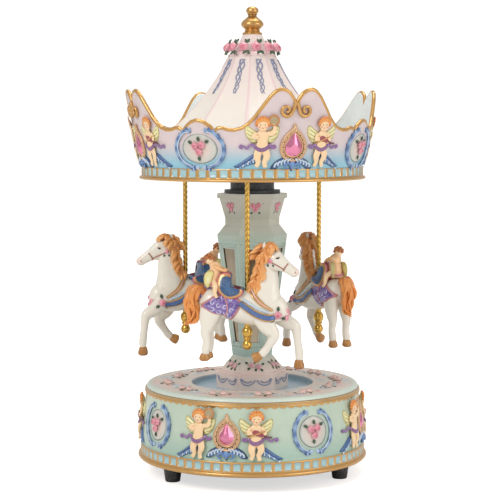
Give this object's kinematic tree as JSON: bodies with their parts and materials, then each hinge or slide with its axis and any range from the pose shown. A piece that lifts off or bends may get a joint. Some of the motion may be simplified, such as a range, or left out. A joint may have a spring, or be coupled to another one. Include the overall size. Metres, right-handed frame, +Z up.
{
  "type": "wind up music box",
  "caption": "Carousel music box: round base with a spring movement, hexagonal column, and a turning crowned canopy that carries leaping horses on twisted poles.",
  "frame": {"origin": "on the ground at the middle of the base, on the axis that the canopy turns about", "axes": "+Z up along the turning axis, -Y is the front, +X is the right seen from the front"},
  "size_m": [0.1598, 0.1598, 0.3026],
  "materials": {
    "painted_base": "semi-gloss hand-painted cast resin, mint with gold, pink and blue carving",
    "painted_deck": "semi-gloss hand-painted cast resin, pale pink and mint",
    "black_plastic": "black moulded plastic",
    "rubber_feet": "black moulded feet",
    "mirror_glass": "silvered glass",
    "gem": "pink pearly acrylic gem",
    "steel": "turned and stamped steel",
    "zinc": "die-cast metal, as cast",
    "brass": "machined brass",
    "polished_brass": "polished twisted brass",
    "painted_canopy": "semi-gloss hand-painted cast resin, lilac to sky blue with gold edging",
    "painted_roof": "semi-gloss hand-painted cast resin, cream with pink folds",
    "gold_paint": "antique gold paint",
    "painted_horse": "semi-gloss hand-painted cast resin, cream white"
  },
  "bodies": {
    "base": {"base_drum": "painted_base", "deck": "painted_deck", "base_plate": "black_plastic", "foot_1": "rubber_feet", "foot_2": "rubber_feet", "foot_3": "rubber_feet", "base_plate_screws": "steel", "pedestal": "painted_deck", "column_body": "painted_deck", "mirror_panel_1": "mirror_glass", "mirror_panel_2": "mirror_glass", "mirror_panel_3": "mirror_glass", "mirror_panel_4": "mirror_glass", "mirror_panel_5": "mirror_glass", "mirror_panel_6": "mirror_glass", "capital": "painted_deck", "bearing_plate": "black_plastic", "lower_bushing": "brass", "upper_bushing": "brass", "base_gem_1": "gem", "base_gem_2": "gem", "base_gem_3": "gem", "base_gem_4": "gem", "movement_bedplate": "zinc", "movement_screws": "steel", "barrel_bridge": "zinc", "bridge_screws": "steel", "comb": "steel", "comb_screws": "steel", "governor_frame": "brass"},
    "canopy": {"spring_barrel": "brass", "mainspring": "steel", "drive_shaft": "steel", "canopy_hub": "black_plastic", "hub_screws": "steel", "canopy_plate": "painted_canopy", "canopy_crown": "painted_canopy", "canopy_roof": "painted_roof", "roof_finial": "gold_paint", "pole_1": "polished_brass", "pole_2": "polished_brass", "pole_3": "polished_brass", "pole_lock_nuts": "brass", "pole_ball_nut_1": "polished_brass", "pole_ball_nut_2": "polished_brass", "pole_ball_nut_3": "polished_brass", "horse_1": "painted_horse", "horse_2": "painted_horse", "horse_3": "painted_horse", "crown_gem_1": "gem", "crown_gem_2": "gem", "crown_gem_3": "gem", "crown_gem_4": "gem"},
    "tune_cylinder": {"pinned_cylinder": "brass", "cylinder_arbor": "steel", "cylinder_gears": "brass"},
    "governor_wheel": {"governor_wheel": "brass"},
    "air_brake": {"governor_fan": "steel"},
    "winding_key": {"winding_arbor": "steel", "winding_key": "brass"}
  },
  "joints": [
    {"name": "canopy_spin", "type": "hinge", "parent": "base", "child": "canopy", "pos_m": [0, 0, 0.1848], "axis": [0, 0, 1], "continuous": true},
    {"name": "cylinder_spin", "type": "hinge", "parent": "base", "child": "tune_cylinder", "pos_m": [-0.04, 0, 0.0332], "axis": [1, 0, 0], "continuous": true},
    {"name": "governor_wheel_spin", "type": "hinge", "parent": "base", "child": "governor_wheel", "pos_m": [-0.0467, 0.0108, 0.0332], "axis": [1, 0, 0], "continuous": true},
    {"name": "air_brake_spin", "type": "hinge", "parent": "base", "child": "air_brake", "pos_m": [-0.0461, 0.01705, 0.0332], "axis": [0, 0, 1], "continuous": true},
    {"name": "key_wind", "type": "hinge", "parent": "base", "child": "winding_key", "pos_m": [0, 0, 0.0104], "axis": [0, 0, 1], "continuous": true}
  ],
  "couplings": [
    {"joint": "cylinder_spin", "follows": "canopy_spin", "ratio": -2},
    {"joint": "governor_wheel_spin", "follows": "canopy_spin", "ratio": 10},
    {"joint": "air_brake_spin", "follows": "canopy_spin", "ratio": 240}
  ]
}
